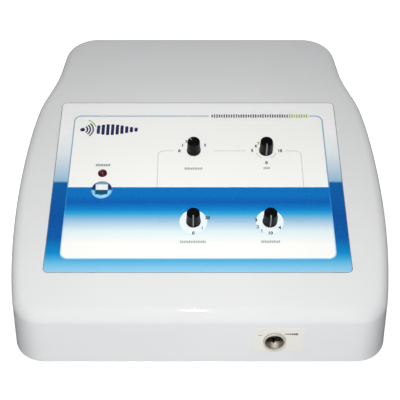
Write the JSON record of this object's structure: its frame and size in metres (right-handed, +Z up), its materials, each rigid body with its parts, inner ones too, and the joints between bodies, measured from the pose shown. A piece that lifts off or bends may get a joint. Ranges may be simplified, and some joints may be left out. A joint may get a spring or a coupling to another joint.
{
  "type": "ultrasound therapy device",
  "caption": "Low desktop therapy unit: white moulded cabinet with a flared waist and sloping printed panel, rotary knobs, lamp, rocker switch and a front output socket.",
  "frame": {"origin": "under the middle of the feet, at the centre of the overall length and width", "axes": "+X to the right seen from the front, +Y to the rear, +Z up; the socket and the low edge of the panel face -Y"},
  "size_m": [0.3536, 0.3524, 0.1233],
  "materials": {
    "cabinet_white": "moulded ABS, semi-gloss, faint orange peel",
    "base_grey": "moulded ABS, fine texture",
    "rubber_feet": "moulded rubber, dull",
    "plated_steel": "bright zinc plate",
    "panel_film": "polyester film, reverse printed with blue bands and dial marks",
    "knob_black": "moulded, satin sides",
    "pointer_grey": "pale filled line",
    "control_grey": "moulded",
    "black_plastic": "moulded",
    "lamp_red": "tinted clear lens, unlit",
    "switch_blue": "glossy moulding",
    "rocker_cream": "glossy moulding",
    "socket_chrome": "bright nickel plate",
    "contact_brass": "bright",
    "label_film": "self-adhesive film",
    "fuse_glass": "clear",
    "board_green": "solder resist",
    "heat_sink_aluminium": "extruded",
    "capacitor_blue": "sleeved can",
    "winding_copper": "enamelled wire",
    "core_steel": "varnished laminations"
  },
  "bodies": {
    "cabinet": {"top_shell": "cabinet_white", "base_plate": "base_grey", "foot_front_left": "rubber_feet", "foot_front_right": "rubber_feet", "foot_rear_left": "rubber_feet", "foot_rear_right": "rubber_feet", "case_screw_front_left": "plated_steel", "case_screw_front_right": "plated_steel", "case_screw_rear_left": "plated_steel", "case_screw_rear_right": "plated_steel", "panel_overlay": "panel_film", "lamp_bezel": "black_plastic", "lamp": "lamp_red", "switch_housing": "switch_blue", "mode_control": "control_grey", "mode_nut": "plated_steel", "timer_control": "control_grey", "timer_nut": "plated_steel", "pulse_control": "control_grey", "pulse_nut": "plated_steel", "intensity_control": "control_grey", "intensity_nut": "plated_steel", "socket_shell": "socket_chrome", "socket_insert": "black_plastic", "socket_pin_1": "contact_brass", "socket_pin_2": "contact_brass", "socket_pin_3": "contact_brass", "socket_pin_4": "contact_brass", "socket_nut": "plated_steel", "socket_label": "label_film", "inlet_housing": "black_plastic", "inlet_pin_line": "contact_brass", "inlet_pin_neutral": "contact_brass", "inlet_pin_earth": "contact_brass", "main_board": "board_green", "heat_sink": "heat_sink_aluminium", "power_transistor": "black_plastic", "smoothing_capacitor": "capacitor_blue", "output_coil": "winding_copper", "control_board": "board_green", "transformer_core": "core_steel", "transformer_winding": "winding_copper", "ribbon_cable": "control_grey", "output_lead": "black_plastic"},
    "mode_rotor": {"mode_knob": "knob_black", "mode_pointer": "pointer_grey", "mode_shaft": "plated_steel"},
    "timer_rotor": {"timer_knob": "knob_black", "timer_pointer": "pointer_grey", "timer_shaft": "plated_steel"},
    "pulse_rotor": {"pulse_knob": "knob_black", "pulse_pointer": "pointer_grey", "pulse_shaft": "plated_steel"},
    "intensity_rotor": {"intensity_knob": "knob_black", "intensity_pointer": "pointer_grey", "intensity_shaft": "plated_steel"},
    "power_rocker": {"switch_rocker": "rocker_cream"},
    "fuse_carrier": {"fuse_drawer": "black_plastic", "fuse_1": "fuse_glass", "fuse_2": "fuse_glass"}
  },
  "joints": [
    {"name": "mode_turn", "type": "hinge", "parent": "cabinet", "child": "mode_rotor", "pos_m": [-0.006, 0.00182, 0.10005], "axis": [0, -0.1994, 0.9799], "range_deg": [-105, 45]},
    {"name": "timer_turn", "type": "hinge", "parent": "cabinet", "child": "timer_rotor", "pos_m": [0.0633, 0.00182, 0.10005], "axis": [0, -0.1994, 0.9799], "range_deg": [-300, 0]},
    {"name": "pulse_turn", "type": "hinge", "parent": "cabinet", "child": "pulse_rotor", "pos_m": [-0.006, -0.07765, 0.08388], "axis": [0, -0.1994, 0.9799], "range_deg": [0, 90]},
    {"name": "intensity_turn", "type": "hinge", "parent": "cabinet", "child": "intensity_rotor", "pos_m": [0.0633, -0.07765, 0.08388], "axis": [0, -0.1994, 0.9799], "range_deg": [-90, 45]},
    {"name": "power_rock", "type": "hinge", "parent": "cabinet", "child": "power_rocker", "pos_m": [-0.0914, -0.04233, 0.08882], "axis": [1, 0, 0], "range_deg": [-16, 0]},
    {"name": "fuse_drawer_slide", "type": "slide", "parent": "cabinet", "child": "fuse_carrier", "axis": [0, 0.9968, 0.0802], "range_m": [0, 0.018]}
  ]
}
